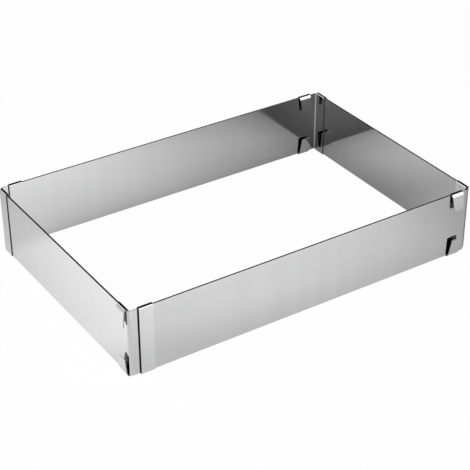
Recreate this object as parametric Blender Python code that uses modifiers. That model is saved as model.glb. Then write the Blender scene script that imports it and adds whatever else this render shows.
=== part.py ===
# Adjustable cake frame
#
# Four L-shaped angles of thin stainless sheet make an open rectangle.
# Every wall is two arms lying one on the other. A clip of the same sheet is
# spot-welded to the end of each arm and folds over the top and bottom edges of
# the arm beside it, so the angles slide apart to make the frame longer or wider.
#
# Metres, +Z up, +X along the long walls, the frame standing on z = 0 and
# closed up to its smallest size.

import math

import bmesh
import bpy
from mathutils import Matrix, Vector

# Frame, closed up
FRAME_LENGTH = 0.279
FRAME_WIDTH = 0.186
WALL_HEIGHT = 0.050

# Sheet
SHEET = 0.0005
RUN_GAP = 0.0003
WELD_GAP = 0.0003
CORNER_RADIUS = 0.0030
END_CORNER_RADIUS = 0.0005

# Arm ends, measured back from the corner that each arm reaches
LONG_SETBACK = 0.0083
SHORT_SETBACK = 0.0034

# Clips
CLIP_WIDTH = 0.0102
CLIP_OVERHANG = 0.0008
FOLD_RADIUS = 0.0008
SHOULDER_LEAD = 0.0002
SHOULDER_RADIUS = 0.0009
SHOULDER_FALL_DEG = 64.0
FLAP_FALL_DEG = 84.5
FLAP_STANDOFF = 0.0017
FLAP_DEPTH = 0.0128
FLAP_TAPER = 0.0020
FLAP_OUTER_RADIUS = 0.0010
FLAP_INNER_RADIUS = 0.0006

# Smoothness
CORNER_STEPS = 12
FOLD_STEPS = 5
SHOULDER_STEPS = 4
ROUND_STEPS = 5

# Derived
LAYER_STEP = SHEET + RUN_GAP
WEB_STEP = SHEET + WELD_GAP
MID_RADIUS = CORNER_RADIUS - SHEET / 2
BEND_LENGTH = MID_RADIUS * math.pi / 2
LIFT = RUN_GAP + SHEET
FOLD_START = RUN_GAP + SHEET / 2 - FOLD_RADIUS
SHOULDER_FALL = math.radians(SHOULDER_FALL_DEG)
FLAP_FALL = math.radians(FLAP_FALL_DEG)
STEEL_SHADE = (0.60, 0.60, 0.61, 1.0)
STEEL_ROUGHNESS_SHARE = 0.25


def clear_scene():
    for obj in list(bpy.data.objects):
        bpy.data.objects.remove(obj, do_unlink=True)


def new_collection(name):
    coll = bpy.data.collections.new(name)
    bpy.context.scene.collection.children.link(coll)
    return coll


def steel(name):
    mat = bpy.data.materials.new(name)
    mat.use_nodes = True
    shader = mat.node_tree.nodes["Principled BSDF"]
    shader.inputs["Base Color"].default_value = STEEL_SHADE
    shader.inputs["Metallic"].default_value = True
    shader.inputs["Roughness"].default_value = STEEL_ROUGHNESS_SHARE
    return mat


def rounded(points):
    """Outline with each corner that carries a radius turned into an arc."""
    out = []
    count = len(points)
    for i, (u, h, radius) in enumerate(points):
        here = Vector((u, h))
        if not radius:
            out.append(here)
            continue
        before = Vector(points[i - 1][:2]) - here
        after = Vector(points[(i + 1) % count][:2]) - here
        half = before.angle(after) / 2
        reach = radius / math.tan(half)
        start = here + before.normalized() * reach
        end = here + after.normalized() * reach
        centre = here + (before.normalized() + after.normalized()).normalized() * radius / math.sin(half)
        sweep = (start - centre).angle_signed(end - centre)
        for k in range(ROUND_STEPS + 1):
            turned = (start - centre).copy()
            turned.rotate(Matrix.Rotation(-sweep * k / ROUND_STEPS, 2))
            out.append(centre + turned)
    return out


def flat_blank(outline):
    bm = bmesh.new()
    bm.faces.new([bm.verts.new((p.x, p.y, 0.0)) for p in rounded(outline)])
    return bm


def crease(bm, place, normal):
    geom = bm.verts[:] + bm.edges[:] + bm.faces[:]
    bmesh.ops.bisect_plane(bm, geom=geom, plane_co=place, plane_no=normal)


# Angles

def long_offset(short_outer):
    """How far in the long arm lies from the frame's outer face."""
    return LAYER_STEP if short_outer else 0.0


def angle_outline(short_outer):
    """Flat strip, from the short arm's end to the long arm's end, with the bend just before zero."""
    inset = long_offset(short_outer)
    short_end = FRAME_WIDTH - SHORT_SETBACK - inset - CORNER_RADIUS
    long_end = FRAME_LENGTH - LONG_SETBACK - (LAYER_STEP - inset) - CORNER_RADIUS
    return [
        (-BEND_LENGTH - short_end, 0.0, END_CORNER_RADIUS),
        (-BEND_LENGTH - short_end, WALL_HEIGHT, END_CORNER_RADIUS),
        (long_end, WALL_HEIGHT, END_CORNER_RADIUS),
        (long_end, 0.0, END_CORNER_RADIUS),
    ]


def bend_angle(u, h, short_outer):
    """Places a point of the flat strip on the bent angle, long arm along +X and short arm along +Y."""
    inset_y = long_offset(short_outer)
    inset_x = LAYER_STEP - inset_y
    if u >= 0:
        x = u + inset_x + CORNER_RADIUS
        y = inset_y + SHEET / 2
    elif u > -BEND_LENGTH:
        turn = -u / MID_RADIUS
        x = inset_x + CORNER_RADIUS - MID_RADIUS * math.sin(turn)
        y = inset_y + CORNER_RADIUS - MID_RADIUS * math.cos(turn)
    else:
        x = inset_x + SHEET / 2
        y = inset_y + CORNER_RADIUS - u - BEND_LENGTH
    return Vector((x, y, h + LIFT))


def angle_sheet(short_outer):
    """Middle surface of one angle, creased at its corner and bent."""
    bm = flat_blank(angle_outline(short_outer))
    for k in range(CORNER_STEPS + 1):
        crease(bm, (-BEND_LENGTH * k / CORNER_STEPS, 0.0, 0.0), (1, 0, 0))
    for vert in bm.verts:
        vert.co = bend_angle(vert.co.x, vert.co.y, short_outer)
    return bm


# Clips

def fold_legs():
    """The clip's course past the wall's edge: each leg's length, the angle it turns and its creases."""
    over_neighbour = WEB_STEP + LAYER_STEP + SHEET / 2 - SHOULDER_LEAD
    to_flap = WEB_STEP + LAYER_STEP + FLAP_STANDOFF
    slope = (to_flap - over_neighbour - SHOULDER_RADIUS * math.sin(FLAP_FALL)) / math.cos(SHOULDER_FALL)
    drop = SHOULDER_RADIUS * (1 - math.cos(FLAP_FALL)) + slope * math.sin(SHOULDER_FALL)
    flap = (FLAP_DEPTH + RUN_GAP + SHEET / 2 - drop) / math.sin(FLAP_FALL)
    last_turn = FLAP_FALL - SHOULDER_FALL
    return (
        (FOLD_RADIUS * math.pi / 2, math.pi / 2, FOLD_STEPS),
        (over_neighbour - FOLD_RADIUS, False, True),
        (SHOULDER_RADIUS * SHOULDER_FALL, SHOULDER_FALL, SHOULDER_STEPS),
        (slope, False, True),
        (SHOULDER_RADIUS * last_turn, last_turn, SHOULDER_STEPS),
        (flap, False, True),
    )


def fold_creases():
    """Distances past the fold's start at which the flat clip is creased."""
    places, along = [0.0], 0.0
    for length, turn, steps in fold_legs()[:-1]:
        for k in range(steps):
            places.append(along + length * (k + 1) / steps)
        along += length
    return places


def fold_point(along):
    """Offset across the wall and height past the fold's start, for a distance along the folded end."""
    out, up, heading = 0.0, 0.0, math.pi / 2
    for length, turn, steps in fold_legs():
        part = min(along, length)
        if part <= 0:
            break
        if turn:
            angle = turn * part / length
            radius = length / turn
            out += radius * (math.sin(heading) - math.sin(heading - angle))
            up += radius * (math.cos(heading - angle) - math.cos(heading))
            heading -= angle
        else:
            out += part * math.cos(heading)
            up += part * math.sin(heading)
        along -= length
    return out, up


def clip_outline():
    """Flat clip, zero at its end by the frame's corner and at the wall's bottom edge, with tapered flaps."""
    legs = [leg[0] for leg in fold_legs()]
    shoulder = WALL_HEIGHT + FOLD_START + sum(legs[:2])
    crest = WALL_HEIGHT + FOLD_START + sum(legs)
    upper = [
        (0.0, crest, FLAP_INNER_RADIUS),
        (CLIP_WIDTH - FLAP_TAPER, crest, FLAP_OUTER_RADIUS),
        (CLIP_WIDTH, shoulder, 0.0),
    ]
    return upper + [(u, WALL_HEIGHT - h, radius) for u, h, radius in reversed(upper)]


def bend_clip(u, h):
    """Places a point of the flat clip: distance from the clip's end, offset from the web, height."""
    above = h - WALL_HEIGHT - FOLD_START
    below = -FOLD_START - h
    if above > 0:
        out, up = fold_point(above)
        return Vector((u, out, WALL_HEIGHT + FOLD_START + up))
    if below > 0:
        out, up = fold_point(below)
        return Vector((u, out, -FOLD_START - up))
    return Vector((u, 0.0, h))


def clip_end(on_long):
    """Distance from the angle's own corner to the clip's end, a little past the arm's end."""
    arm_end = FRAME_LENGTH - LONG_SETBACK if on_long else FRAME_WIDTH - SHORT_SETBACK
    return arm_end + CLIP_OVERHANG


def clip_sheet(on_long, arm_outer):
    """Middle surface of one clip, folded and laid against the arm's face that is away from the neighbour."""
    bm = flat_blank(clip_outline())
    for place in fold_creases():
        crease(bm, (0.0, WALL_HEIGHT + FOLD_START + place, 0.0), (0, 1, 0))
        crease(bm, (0.0, -FOLD_START - place, 0.0), (0, 1, 0))
    web = SHEET / 2 - WEB_STEP if arm_outer else LAYER_STEP + SHEET / 2 + WEB_STEP
    end = clip_end(on_long)
    for vert in bm.verts:
        p = bend_clip(vert.co.x, vert.co.y)
        across = web + p.y if arm_outer else web - p.y
        along = end - p.x
        vert.co = (along, across, p.z + LIFT) if on_long else (across, along, p.z + LIFT)
    return bm


# Assembly

def sheet_object(name, bm, place, origin, coll):
    """Gives a middle surface its sheet thickness and its place in the frame."""
    bm.transform(Matrix.Translation(-origin) @ place)
    bmesh.ops.recalc_face_normals(bm, faces=bm.faces[:])
    mesh = bpy.data.meshes.new(name)
    bm.to_mesh(mesh)
    bm.free()
    obj = bpy.data.objects.new(name, mesh)
    obj.location = origin
    obj.data.materials.append(steel(name + "_steel"))
    coll.objects.link(obj)
    thick = obj.modifiers.new("sheet", "SOLIDIFY")
    thick.thickness = SHEET
    thick.offset = 0
    thick.use_even_offset = True
    return obj


def angle_with_clips(name, short_outer, mirrored, turned, origin, coll):
    """One L-shaped angle at its corner of the frame with the clips welded to its two arm ends."""
    place = Matrix.Translation((-FRAME_LENGTH / 2, -FRAME_WIDTH / 2, 0.0))
    if mirrored:
        place = Matrix.Scale(-1, 4, (1, 0, 0)) @ place
    if turned:
        place = Matrix.Rotation(math.pi, 4, "Z") @ place
    angle = sheet_object(name + "_angle", angle_sheet(short_outer), place, Vector(origin), coll)
    for arm, on_long in (("long", True), ("short", False)):
        arm_outer = short_outer != on_long
        seat = (clip_end(on_long), 0.0, LIFT) if on_long else (0.0, clip_end(on_long), LIFT)
        corner = place @ Vector(seat)
        clip = sheet_object(f"{name}_{arm}_clip", clip_sheet(on_long, arm_outer), place, corner, coll)
        clip.parent = angle
        clip.location = corner - Vector(origin)


def build():
    clear_scene()
    coll = new_collection("adjustable_cake_frame")
    middle = WALL_HEIGHT / 2 + LIFT
    seam = SHEET + RUN_GAP / 2
    front = (FRAME_LENGTH / 2, -FRAME_WIDTH / 2 + seam, middle)
    left = (-FRAME_LENGTH / 2 + seam, FRAME_WIDTH / 2, middle)
    right = (FRAME_LENGTH / 2 - seam, FRAME_WIDTH / 2, middle)
    angle_with_clips("front_left", True, False, False, (0.0, 0.0, 0.0), coll)
    angle_with_clips("front_right", False, True, False, front, coll)
    angle_with_clips("back_right", True, False, True, right, coll)
    angle_with_clips("back_left", False, True, True, left, coll)


build()
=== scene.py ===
import math

import bmesh
import bpy
from mathutils import Matrix, Vector


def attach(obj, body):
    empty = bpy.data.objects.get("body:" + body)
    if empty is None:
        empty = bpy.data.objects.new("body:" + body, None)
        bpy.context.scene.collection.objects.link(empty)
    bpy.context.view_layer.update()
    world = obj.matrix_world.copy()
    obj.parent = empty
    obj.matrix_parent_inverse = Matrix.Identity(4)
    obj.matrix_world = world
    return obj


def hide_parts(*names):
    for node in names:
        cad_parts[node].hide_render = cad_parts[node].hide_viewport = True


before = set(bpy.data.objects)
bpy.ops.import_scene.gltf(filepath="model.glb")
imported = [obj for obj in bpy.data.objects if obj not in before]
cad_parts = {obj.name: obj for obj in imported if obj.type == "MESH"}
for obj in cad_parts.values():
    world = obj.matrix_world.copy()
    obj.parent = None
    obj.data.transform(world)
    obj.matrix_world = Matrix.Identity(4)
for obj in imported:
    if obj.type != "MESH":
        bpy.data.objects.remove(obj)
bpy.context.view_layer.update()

# Angles.
# Four strips of bright stainless sheet, each cut to length and folded over a bar into an L. The front left
# and back right ones have the short arm outside, the other two the long arm, so every wall is two sheets.
FRAME_LENGTH = 0.279
FRAME_WIDTH = 0.186
WALL_HEIGHT = 0.050
SHEET = 0.0005
RUN_GAP = 0.0003
CORNER_RADIUS = 0.0030
END_CORNER_RADIUS = 0.0005
LONG_SETBACK = 0.0083
SHORT_SETBACK = 0.0034
DEBURR = 0.00007
LAYER_STEP = SHEET + RUN_GAP
MID_RADIUS = CORNER_RADIUS - SHEET / 2
BEND_LENGTH = MID_RADIUS * math.pi / 2

# the walls stand off the table, because the clips' lower folds carry them
STANDING_LIFT = RUN_GAP + SHEET

# how finely bends and corners are divided, and from which angle an edge is deburred or drawn sharp
BEND_FACETS = 24
BEND_MARGIN = CORNER_RADIUS / 4
CORNER_FACETS = 8
DEBURR_FACETS = 2
DEBURRED_FROM = math.radians(60)
SHARP_FROM = math.radians(40)

# the share of a normal that makes a rim face up or down, and the weight that lets the broad faces shade
FACES_UP_OR_DOWN = 0.5
BROAD_FACES_ONLY = 100

# the darker and the lighter colour of the sheet's streaks, and how far each angle's pattern slides on
PLAIN_SHEET = ((0.43, 0.43, 0.433, 1), (0.46, 0.46, 0.462, 1))
ANGLE_PATTERN_SHIFT = 2.7

# which way round each corner's angle lies: short arm outside, mirrored, turned by half a turn
CORNERS = {
    "front_left": (True, False, False),
    "front_right": (False, True, False),
    "back_right": (True, False, True),
    "back_left": (False, True, True),
}


def round_off(outline):
    """The cut outline with its corners taken off to the radius each one carries."""
    cut = []
    for i, (u, h, radius) in enumerate(outline):
        corner = Vector((u, h))
        if not radius:
            cut.append(corner)
            continue
        back = (Vector(outline[i - 1][:2]) - corner).normalized()
        ahead = (Vector(outline[(i + 1) % len(outline)][:2]) - corner).normalized()
        half = back.angle(ahead) / 2
        centre = corner + (back + ahead).normalized() * radius / math.sin(half)
        start = corner + back * radius / math.tan(half) - centre
        end = corner + ahead * radius / math.tan(half) - centre
        sweep = start.angle_signed(end)
        for k in range(CORNER_FACETS + 1):
            spoke = start.copy()
            spoke.rotate(Matrix.Rotation(-sweep * k / CORNER_FACETS, 2))
            cut.append(centre + spoke)
    return cut


def cut_sheet(outline, creases):
    """A flat piece of sheet scored where it will bend, with its grain running along the strip."""
    blank = bmesh.new()
    blank.faces.new([blank.verts.new((p.x, p.y, 0)) for p in round_off(outline)])
    for place, across in creases:
        geometry = blank.verts[:] + blank.edges[:] + blank.faces[:]
        bmesh.ops.bisect_plane(blank, geom=geometry, plane_co=place, plane_no=across)
    grain = blank.loops.layers.uv.new("grain")
    for face in blank.faces:
        for loop in face.loops:
            loop[grain].uv = loop.vert.co.xy
    return blank


def finished(name, blank, corner, finish, highlight_flap_ends):
    """Stands a bent piece at its corner of the frame, gives it the sheet's thickness and deburrs it."""
    mirrored, turned = CORNERS[corner][1:]
    place = Matrix.Translation((-FRAME_LENGTH / 2, -FRAME_WIDTH / 2, 0))
    if mirrored:
        place = Matrix.Scale(-1, 4, (1, 0, 0)) @ place
    if turned:
        place = Matrix.Rotation(math.pi, 4, "Z") @ place
    blank.transform(place)
    bmesh.ops.recalc_face_normals(blank, faces=blank.faces[:])
    mesh = bpy.data.meshes.new(name)
    blank.to_mesh(mesh)
    blank.free()
    piece = bpy.data.objects.new(name, mesh)
    bpy.context.scene.collection.objects.link(piece)
    surfaces = [finish, shaded_cut_edge, painted_highlight_rim]
    for surface in surfaces:
        mesh.materials.append(surface)
    rim, highlight_slot = surfaces.index(shaded_cut_edge), surfaces.index(painted_highlight_rim)

    sheet = piece.modifiers.new("sheet", "SOLIDIFY")
    sheet.thickness = SHEET
    sheet.offset = 0
    sheet.use_even_offset = True
    sheet.material_offset_rim = rim
    deburr = piece.modifiers.new("deburr", "BEVEL")
    deburr.width = DEBURR
    deburr.segments = DEBURR_FACETS
    deburr.limit_method = "ANGLE"
    deburr.angle_limit = DEBURRED_FROM
    graph = bpy.context.evaluated_depsgraph_get()
    made = bpy.data.meshes.new_from_object(piece.evaluated_get(graph))
    piece.modifiers.clear()
    piece.data = made

    # a clip's rims that face up or down are the free ends of its flaps, given a light tone as a painted
    # highlight
    for facet in made.polygons:
        if highlight_flap_ends and facet.material_index == rim and abs(facet.normal.z) > FACES_UP_OR_DOWN:
            facet.material_index = highlight_slot
    made.shade_smooth()
    made.set_sharp_from_angle(angle=SHARP_FROM)
    even = piece.modifiers.new("flat faces stay flat", "WEIGHTED_NORMAL")
    even.keep_sharp = True
    even.weight = BROAD_FACES_ONLY
    return piece


def ground_steel(name, shift, streak_colours, weld_marks=()):
    """Bright stainless sheet: fine grinding along the strip, faint clouds, slight waviness and weld marks."""
    steel = bpy.data.materials.new(name)
    steel.use_nodes = True
    nodes, links = steel.node_tree.nodes, steel.node_tree.links
    shader = nodes["Principled BSDF"]
    shader.inputs["Metallic"].default_value = 1
    shader.inputs["Anisotropic"].default_value = 0.35
    strip = nodes.new("ShaderNodeUVMap")
    strip.uv_map = "grain"

    def noise(along, up, detail, layer):
        """A pattern with so many cells a metre along the strip and so many up it."""
        stretch = nodes.new("ShaderNodeMapping")
        stretch.inputs["Scale"].default_value = (along, up, 1)
        stretch.inputs["Location"].default_value = (shift, shift / 2, layer)
        links.new(strip.outputs["UV"], stretch.inputs["Vector"])
        pattern = nodes.new("ShaderNodeTexNoise")
        pattern.inputs["Scale"].default_value = 1
        pattern.inputs["Detail"].default_value = detail
        links.new(stretch.outputs["Vector"], pattern.inputs["Vector"])
        return pattern.outputs["Fac"]

    def span(value, low, high, start=0.3, stop=0.7):
        """Low where the value is at its start, high at its stop; noise seldom leaves 0.3 to 0.7."""
        spread = nodes.new("ShaderNodeMapRange")
        spread.inputs["From Min"].default_value = start
        spread.inputs["From Max"].default_value = stop
        spread.inputs["To Min"].default_value = low
        spread.inputs["To Max"].default_value = high
        links.new(value, spread.inputs["Value"])
        return spread.outputs["Result"]

    def relief(height, strength, depth, under=None):
        """Raises the surface by a height pattern, on top of any relief under it."""
        bump = nodes.new("ShaderNodeBump")
        bump.inputs["Strength"].default_value = strength
        bump.inputs["Distance"].default_value = depth
        links.new(height, bump.inputs["Height"])
        if under:
            links.new(under, bump.inputs["Normal"])
        return bump.outputs["Normal"]

    grinding = noise(along=40, up=5200, detail=3, layer=0)
    streaks = noise(along=130, up=4, detail=2, layer=11)
    clouds = noise(along=18, up=30, detail=4, layer=3)
    wave = noise(along=7, up=12, detail=1, layer=7)
    tone = nodes.new("ShaderNodeMix")
    tone.data_type = "RGBA"
    tone.inputs["A"].default_value, tone.inputs["B"].default_value = streak_colours
    links.new(span(streaks, low=0.3, high=0.7), tone.inputs["Factor"])
    links.new(tone.outputs["Result"], shader.inputs["Base Color"])
    links.new(span(clouds, low=0.07, high=0.11), shader.inputs["Roughness"])
    surface = relief(wave, strength=0.35, depth=0.0003)
    surface = relief(grinding, strength=0.02, depth=0.00003, under=surface)
    for mark in weld_marks:
        reach = nodes.new("ShaderNodeVectorMath")
        reach.operation = "DISTANCE"
        reach.inputs[1].default_value = (*mark, 0)
        links.new(strip.outputs["UV"], reach.inputs[0])
        dimple = span(reach.outputs["Value"], low=0, high=1, start=0.0008, stop=0.0017)
        surface = relief(dimple, strength=0.6, depth=0.00008, under=surface)
    links.new(surface, shader.inputs["Normal"])
    return steel


def sheared_rim_painted_tone(name, tone, smoothest, dullest):
    """A cut rim of the sheet, left mottled by the shear, whose given tone is painted: dark as shade on the
    plain rims, light as a highlight on the flap ends.
    """
    edge = bpy.data.materials.new(name)
    edge.use_nodes = True
    nodes, links = edge.node_tree.nodes, edge.node_tree.links
    shader = nodes["Principled BSDF"]
    shader.inputs["Metallic"].default_value = 1
    place = nodes.new("ShaderNodeTexCoord")
    mottle = nodes.new("ShaderNodeTexNoise")
    mottle.inputs["Scale"].default_value = 2500
    links.new(place.outputs["Object"], mottle.inputs["Vector"])
    spread = nodes.new("ShaderNodeMapRange")
    spread.inputs["To Min"].default_value = smoothest
    spread.inputs["To Max"].default_value = dullest
    links.new(mottle.outputs["Fac"], spread.inputs["Value"])
    links.new(spread.outputs["Result"], shader.inputs["Roughness"])
    shader.inputs["Base Color"].default_value = (tone, tone, tone, 1)
    return edge


# the plain rims are dark: partly the dull grey of the shear, partly painted shade for the gaps between the
# sheets
shaded_cut_edge = sheared_rim_painted_tone("sheared_rim_painted_tone", tone=0.16, smoothest=0.30, dullest=0.42)
# the flap ends that face up or down are light: a painted highlight where overhead light would catch them
painted_highlight_rim = sheared_rim_painted_tone("painted_highlight_rim", tone=0.75, smoothest=0.50, dullest=0.65)


def bent_angle(corner, shift):
    """One angle: the strip runs from the short arm's end to the long arm's end through the bend."""
    short_arm_outside = CORNERS[corner][0]
    inset_y = LAYER_STEP if short_arm_outside else 0
    inset_x = LAYER_STEP - inset_y
    short_end = -BEND_LENGTH - (FRAME_WIDTH - SHORT_SETBACK - inset_y - CORNER_RADIUS)
    long_end = FRAME_LENGTH - LONG_SETBACK - inset_x - CORNER_RADIUS
    outline = [(short_end, 0), (short_end, WALL_HEIGHT), (long_end, WALL_HEIGHT), (long_end, 0)]
    places = [-BEND_LENGTH * k / BEND_FACETS for k in range(BEND_FACETS + 1)]
    places += [BEND_MARGIN, -BEND_LENGTH - BEND_MARGIN]
    blank = cut_sheet(
        [(u, h, END_CORNER_RADIUS) for u, h in outline],
        [((place, 0, 0), (1, 0, 0)) for place in places],
    )
    for vert in blank.verts:
        u, h = vert.co.xy
        x, y = inset_x + CORNER_RADIUS, inset_y + CORNER_RADIUS
        turn = min(max(-u / MID_RADIUS, 0), math.pi / 2)
        x += max(u, 0) - MID_RADIUS * math.sin(turn)
        y += max(-u - BEND_LENGTH, 0) - MID_RADIUS * math.cos(turn)
        vert.co = (x, y, h + STANDING_LIFT)
    finish = ground_steel(f"{corner}_angle_steel", shift, PLAIN_SHEET)
    return finished(f"{corner}_strip", blank, corner, finish, highlight_flap_ends=False)


for number, corner in enumerate(CORNERS):
    angle = bent_angle(corner, ANGLE_PATTERN_SHIFT * number)
    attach(angle, f"{corner}_angle")
    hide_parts(f"{corner}_angle")

# Clips.
# A short strip of stainless sheet spot-welded to the end of each arm, on the side away from the neighbour.
# It folds over both sheets at the top and bottom edge and comes down as a tapered flap on the far side.
WELD_GAP = 0.00008
CLIP_WIDTH = 0.0102
CLIP_OVERHANG = 0.0008
FOLD_RADIUS = 0.0008
SHOULDER_LEAD = 0.0002
SHOULDER_RADIUS = 0.0009
SHOULDER_FALL = math.radians(64)
FLAP_FALL = math.radians(84.5)
FLAP_STANDOFF = 0.0017
FLAP_DEPTH = 0.0128
FLAP_TAPER = 0.0020
FLAP_OUTER_RADIUS = 0.0010
FLAP_INNER_RADIUS = 0.0006
WELD_SPOTS = ((0.0051, 0.0140), (0.0051, 0.0360))
WEB_STEP = SHEET + WELD_GAP
FOLD_START = RUN_GAP + SHEET / 2 - FOLD_RADIUS

# painted sheen: the clips of the long outer arms get a lighter copy of the plain steel's colours
PAINTED_SHEEN_SHEET = ((0.475, 0.475, 0.478, 1), (0.505, 0.505, 0.507, 1))
CLIP_PATTERN_SHIFT = 2.1
ARM_PATTERN_SHIFTS = {"long": 1.3, "short": 1.9}


def fold_course():
    """The clip past the wall's edge: each stretch's length, the angle it turns and its facets."""
    over_neighbour = WEB_STEP + LAYER_STEP + SHEET / 2 - SHOULDER_LEAD
    slope = WEB_STEP + LAYER_STEP + FLAP_STANDOFF - over_neighbour - SHOULDER_RADIUS * math.sin(FLAP_FALL)
    slope /= math.cos(SHOULDER_FALL)
    drop = SHOULDER_RADIUS * (1 - math.cos(FLAP_FALL)) + slope * math.sin(SHOULDER_FALL)
    last_turn = FLAP_FALL - SHOULDER_FALL
    # the fold, the flat crown, the shoulder, its slope, the turn into the flap and the flap
    return [
        (FOLD_RADIUS * math.pi / 2, math.pi / 2, 10),
        (over_neighbour - FOLD_RADIUS, 0, 2),
        (SHOULDER_RADIUS * SHOULDER_FALL, SHOULDER_FALL, 6),
        (slope, 0, 2),
        (SHOULDER_RADIUS * last_turn, last_turn, 3),
        ((FLAP_DEPTH + RUN_GAP + SHEET / 2 - drop) / math.sin(FLAP_FALL), 0, 1),
    ]


def along_fold(along):
    """How far across and how high the sheet has gone after a given run past the edge."""
    out, up, heading = 0.0, 0.0, math.pi / 2
    for length, turn, _ in fold_course():
        run = min(along, length)
        if run <= 0:
            break
        if turn:
            radius, angle = length / turn, turn * run / length
            out += radius * (math.sin(heading) - math.sin(heading - angle))
            up += radius * (math.cos(heading - angle) - math.cos(heading))
            heading -= angle
        else:
            out += run * math.cos(heading)
            up += run * math.sin(heading)
        along -= length
    return out, up


def folded_clip(corner, arm, shift):
    """One clip, cut flat with tapered flaps, folded over both edges and laid on its arm's end."""
    fold, crown = fold_course()[:2]
    creases, along = [0.0], 0.0
    for length, _, facets in fold_course():
        creases += [along + length * (k + 1) / facets for k in range(facets)]
        along += length
    free_end = creases.pop()
    flap_end = WALL_HEIGHT + FOLD_START + free_end
    taper_start = WALL_HEIGHT + FOLD_START + fold[0] + crown[0]
    upper = [
        (0, flap_end, FLAP_INNER_RADIUS),
        (CLIP_WIDTH - FLAP_TAPER, flap_end, FLAP_OUTER_RADIUS),
        (CLIP_WIDTH, taper_start, 0),
    ]
    lower = [(u, WALL_HEIGHT - h, radius) for u, h, radius in reversed(upper)]
    heights = [WALL_HEIGHT + FOLD_START + crease for crease in creases]
    heights += [-FOLD_START - crease for crease in creases]
    blank = cut_sheet(upper + lower, [((0, h, 0), (0, 1, 0)) for h in heights])

    on_long = arm == "long"
    arm_outside = CORNERS[corner][0] != on_long
    web = SHEET / 2 - WEB_STEP if arm_outside else LAYER_STEP + SHEET / 2 + WEB_STEP
    arm_end = FRAME_LENGTH - LONG_SETBACK if on_long else FRAME_WIDTH - SHORT_SETBACK
    clip_end = CLIP_OVERHANG + arm_end
    for vert in blank.verts:
        u, h = vert.co.xy
        past = max(h - WALL_HEIGHT, -h) - FOLD_START
        out, up = along_fold(past)
        if past > 0:
            h = WALL_HEIGHT + FOLD_START + up if h > WALL_HEIGHT / 2 else -FOLD_START - up
        along_wall = clip_end - u
        across_wall = web + out if arm_outside else web - out
        x, y = (along_wall, across_wall) if on_long else (across_wall, along_wall)
        vert.co = (x, y, h + STANDING_LIFT)
    # the long outer clips take the lighter copy, a painted sheen
    sheet_colours = PAINTED_SHEEN_SHEET if on_long and arm_outside else PLAIN_SHEET
    finish = ground_steel(f"{corner}_{arm}_clip_steel", shift, sheet_colours, WELD_SPOTS)
    return finished(f"{corner}_{arm}_clip_strip", blank, corner, finish, highlight_flap_ends=True)


for number, corner in enumerate(CORNERS):
    for arm, arm_shift in ARM_PATTERN_SHIFTS.items():
        clip = folded_clip(corner, arm, arm_shift + CLIP_PATTERN_SHIFT * number)
        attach(clip, f"{corner}_angle")
        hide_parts(f"{corner}_{arm}_clip")

# Table.
# A large plain white top that the frame stands on, white for the camera but for the frame's soft shadow. It
# lies a hair under the clips' lower folds. The steel mirrors it as a glow of painted light and shade.
TABLE_SIZE = 8.0
TABLE_DROP = 0.00005
TOP_COLOUR = (0.8, 0.8, 0.8, 1)
WHITE_FOR_CAMERA = 0.96
SECOND_MIRROR_SHADE = 0.55

# painted shade: the mirrored top darkens around the frame's foot, within this reach and by up to this share
FOOT_SHADE_REACH = 0.04
FOOT_SHADE_SHARE = 0.3

# painted light: how bright the steel shows the top along an axis, where that changes, and the share before
# and after
PAINTED_LIGHT_FALLS = (
    ((0.654, 0.756, 0), -0.134, 0.210, 2.2, 0.535),
    ((0.360, -0.933, 0), -0.020, 0.053, 1.0, 0.655),
    ((0.360, -0.933, 0), 0.055, 0.120, 0.86, 1.0),
    ((-0.8, 0.6, 0), 0.03, 0.12, 1.0, 0.87),
    ((0, 1, 0), 0.075, 0.105, 1.0, 0.80),
    ((1, 0, 0), 0.10, 0.18, 1.0, 0.78),
    ((0, -1, 0), 0.150, 0.185, 1.0, 1.35),
    ((1, 0, 0), 0.25, 0.40, 1.0, 1.4),
)
# painted light, brighter again past the right wall and past the far wall: by how much, and the edges
PAINTED_LIGHT_POOLS = (
    (1.5, ((1, 0, 0), 0.185, 0.300, 0, 1), ((0, 1, 0), -0.11, -0.03, 0, 1)),
    (0.9, ((0, 1, 0), 0.095, 0.150, 0, 1), ((1, 0, 0), -0.12, -0.05, 0, 1)),
)
# a painted soft shadow right of the near right corner, which darkens that corner's outline in the steel
PAINTED_SHADOW_X = 0.180
PAINTED_SHADOW_Y = -0.078
PAINTED_SHADOW_SQUEEZE = 0.45
PAINTED_SHADOW_CORE = 0.005
PAINTED_SHADOW_RIM = 0.032
PAINTED_SHADOW_TONE = 0.42


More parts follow.
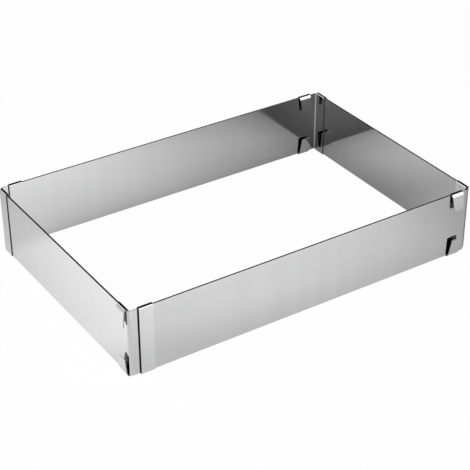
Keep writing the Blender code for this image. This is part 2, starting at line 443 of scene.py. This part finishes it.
def white_top_painted_light():
    """White for the camera; in the steel it glows with painted light and shade."""
    paint = bpy.data.materials.new("white_top_painted_light")
    paint.use_nodes = True
    nodes, links = paint.node_tree.nodes, paint.node_tree.links
    nodes.remove(nodes["Principled BSDF"])
    matt = nodes.new("ShaderNodeBsdfDiffuse")
    matt.inputs["Color"].default_value = TOP_COLOUR
    glow = nodes.new("ShaderNodeEmission")
    rays = nodes.new("ShaderNodeLightPath")
    place = nodes.new("ShaderNodeTexCoord")

    def eased(value, start, end, low, high, curve="SMOOTHSTEP"):
        """Turns a value between start and end into a brightness between low and high."""
        ramp = nodes.new("ShaderNodeMapRange")
        ramp.interpolation_type = curve
        ramp.inputs["From Min"].default_value = start
        ramp.inputs["From Max"].default_value = end
        ramp.inputs["To Min"].default_value = low
        ramp.inputs["To Max"].default_value = high
        links.new(value, ramp.inputs["Value"])
        return ramp.outputs["Result"]

    def across(axis, start, end, low, high):
        """Brightness that changes smoothly across the top along an axis."""
        toward = nodes.new("ShaderNodeVectorMath")
        toward.operation = "DOT_PRODUCT"
        toward.inputs[1].default_value = axis
        links.new(place.outputs["Object"], toward.inputs[0])
        return eased(toward.outputs["Value"], start, end, low, high)

    def scaled(value, factor, plus=0):
        """The value times a factor, which is a number or another node's output."""
        step = nodes.new("ShaderNodeMath")
        step.operation = "MULTIPLY_ADD"
        step.inputs[2].default_value = plus
        links.new(value, step.inputs[0])
        if hasattr(factor, "node"):
            links.new(factor, step.inputs[1])
        else:
            step.inputs[1].default_value = factor
        return step.outputs[0]

    painted_foot_shade = nodes.new("ShaderNodeAmbientOcclusion")
    painted_foot_shade.samples = 8
    painted_foot_shade.inputs["Distance"].default_value = FOOT_SHADE_REACH
    mirrored = scaled(painted_foot_shade.outputs["AO"], FOOT_SHADE_SHARE, plus=1 - FOOT_SHADE_SHARE)
    for fall in PAINTED_LIGHT_FALLS:
        mirrored = scaled(mirrored, across(*fall))
    for gain, one_edge, other_edge in PAINTED_LIGHT_POOLS:
        patch = scaled(across(*one_edge), across(*other_edge))
        mirrored = scaled(mirrored, scaled(patch, gain, plus=1))

    squeezed = nodes.new("ShaderNodeMapping")
    squeezed.inputs["Location"].default_value = (-PAINTED_SHADOW_X * PAINTED_SHADOW_SQUEEZE, -PAINTED_SHADOW_Y, 0)
    squeezed.inputs["Scale"].default_value = (PAINTED_SHADOW_SQUEEZE, 1, 0)
    links.new(place.outputs["Object"], squeezed.inputs["Vector"])
    from_painted_shadow = nodes.new("ShaderNodeVectorMath")
    from_painted_shadow.operation = "LENGTH"
    links.new(squeezed.outputs["Vector"], from_painted_shadow.inputs[0])
    painted_shadow = eased(from_painted_shadow.outputs["Value"], start=PAINTED_SHADOW_CORE, end=PAINTED_SHADOW_RIM, low=PAINTED_SHADOW_TONE, high=1)
    mirrored = scaled(mirrored, painted_shadow)

    # painted shade: the top is dimmer in steel that is itself seen in steel
    second_mirror_shade = eased(rays.outputs["Glossy Depth"], start=1, end=2, low=1, high=SECOND_MIRROR_SHADE, curve="LINEAR")
    mirrored = scaled(mirrored, second_mirror_shade)

    camera, mirror = rays.outputs["Is Camera Ray"], rays.outputs["Is Glossy Ray"]
    shine = nodes.new("ShaderNodeMix")
    links.new(mirror, shine.inputs["Factor"])
    shine.inputs["A"].default_value = 1
    links.new(mirrored, shine.inputs["B"])
    links.new(shine.outputs["Result"], glow.inputs["Strength"])
    seen = nodes.new("ShaderNodeMath")
    seen.operation = "MAXIMUM"
    links.new(scaled(camera, WHITE_FOR_CAMERA), seen.inputs[0])
    links.new(mirror, seen.inputs[1])
    mix = nodes.new("ShaderNodeMixShader")
    links.new(seen.outputs[0], mix.inputs[0])
    links.new(matt.outputs[0], mix.inputs[1])
    links.new(glow.outputs[0], mix.inputs[2])
    links.new(mix.outputs[0], nodes["Material Output"].inputs["Surface"])
    return paint


top = bmesh.new()
bmesh.ops.create_grid(top, x_segments=1, y_segments=1, size=TABLE_SIZE / 2)
table_mesh = bpy.data.meshes.new("table")
top.to_mesh(table_mesh)
top.free()
table = bpy.data.objects.new("table", table_mesh)
table_mesh.materials.append(white_top_painted_light())
table.location.z = -TABLE_DROP
bpy.context.scene.collection.objects.link(table)

# Studio light.
# A pale room that is dark to the right and in a patch high at the far left, with a large soft lamp overhead
# on the left and low softboxes at the front right and the far left, which light up the clips' shoulders.
DARK_TO_RIGHT = ((0.98, 0.20, 0), 0.10, 0.24, 1.0, 0.02)
DARK_FAR_CEILING = ((-0.337, 0.713, 0.615), 0.86, 0.93, 1.0, 0.05)
WHITE_OVERHEAD = ((0, 0, 1), 0.95, 0.99, 0.0, 1.0)
room = bpy.data.worlds.new("studio")
bpy.context.scene.world = room
room.use_nodes = True
room_nodes, room_links = room.node_tree.nodes, room.node_tree.links
direction = room_nodes.new("ShaderNodeTexCoord")


def room_ramp(axis, start, end, low, high):
    """Brightness that changes smoothly as the look direction turns toward an axis."""
    facing = room_nodes.new("ShaderNodeVectorMath")
    facing.operation = "DOT_PRODUCT"
    facing.inputs[1].default_value = axis
    room_links.new(direction.outputs["Generated"], facing.inputs[0])
    ramp = room_nodes.new("ShaderNodeMapRange")
    ramp.interpolation_type = "SMOOTHSTEP"
    ramp.inputs["From Min"].default_value = start
    ramp.inputs["From Max"].default_value = end
    ramp.inputs["To Min"].default_value = low
    ramp.inputs["To Max"].default_value = high
    room_links.new(facing.outputs["Value"], ramp.inputs["Value"])
    return ramp.outputs["Result"]


# the room is white straight overhead and wherever the camera looks straight at it
brightness = room_ramp(*DARK_TO_RIGHT)
straight_view = room_nodes.new("ShaderNodeLightPath").outputs["Is Camera Ray"]
for operation, part in (
    ("MULTIPLY", room_ramp(*DARK_FAR_CEILING)),
    ("MAXIMUM", room_ramp(*WHITE_OVERHEAD)),
    ("MAXIMUM", straight_view),
):
    step = room_nodes.new("ShaderNodeMath")
    step.operation = operation
    room_links.new(brightness, step.inputs[0])
    room_links.new(part, step.inputs[1])
    brightness = step.outputs[0]
backdrop = room_nodes["Background"]
room_links.new(brightness, backdrop.inputs["Strength"])
backdrop.inputs["Color"].default_value = (1, 1, 1, 1)


def softbox(name, place, width, height, watts):
    """A rectangular lamp at a place, aimed at the middle of the frame."""
    light = bpy.data.lights.new(name, "AREA")
    light.shape = "RECTANGLE"
    light.size = width
    light.size_y = height
    light.energy = watts
    lamp = bpy.data.objects.new(name, light)
    bpy.context.scene.collection.objects.link(lamp)
    lamp.location = place
    lamp.rotation_euler = (-lamp.location).to_track_quat("-Z", "Y").to_euler()


softbox("overhead_softbox", (-0.9, -0.5, 1.5), width=1.2, height=1.2, watts=12)
softbox("front_softbox", (0.75, -1.40, 0.60), width=0.9, height=1.1, watts=7.9)
softbox("far_left_softbox", (-1.10, 1.12, 0.75), width=0.9, height=0.6, watts=4.3)

# Camera.
# Where the photograph was taken from, with its focal length in pixels, both solved from the straight edges
# of the walls.
VIEW_FROM = Vector((-0.48343, -0.74329, 0.56084))
VIEW_TURN = math.radians(-33.0660)
VIEW_DIP = math.radians(31.7660)
VIEW_ROLL = math.radians(-0.2787)
FOCAL_LENGTH_PIXELS = 1438.785
PICTURE_WIDTH_PIXELS = 470
SENSOR_WIDTH_MM = 36
NEAREST_SEEN = 0.01
camera_data = bpy.data.cameras.new("camera")
camera_data.sensor_width = SENSOR_WIDTH_MM
camera_data.lens = SENSOR_WIDTH_MM * FOCAL_LENGTH_PIXELS / PICTURE_WIDTH_PIXELS
camera_data.clip_start = NEAREST_SEEN
camera = bpy.data.objects.new("camera", camera_data)
bpy.context.scene.collection.objects.link(camera)
behind = Vector(
    (
        math.sin(VIEW_TURN) * math.cos(VIEW_DIP),
        -math.cos(VIEW_TURN) * math.cos(VIEW_DIP),
        math.sin(VIEW_DIP),
    )
)
level = Vector((0, 0, 1)).cross(behind).normalized()
upright = behind.cross(level)
rolled = level * math.cos(VIEW_ROLL) + upright * math.sin(VIEW_ROLL)
view_axes = Matrix((rolled, behind.cross(rolled), behind)).transposed().to_4x4()
camera.matrix_world = Matrix.Translation(VIEW_FROM) @ view_axes
bpy.context.scene.camera = camera
bpy.context.scene.view_settings.view_transform = "Standard"
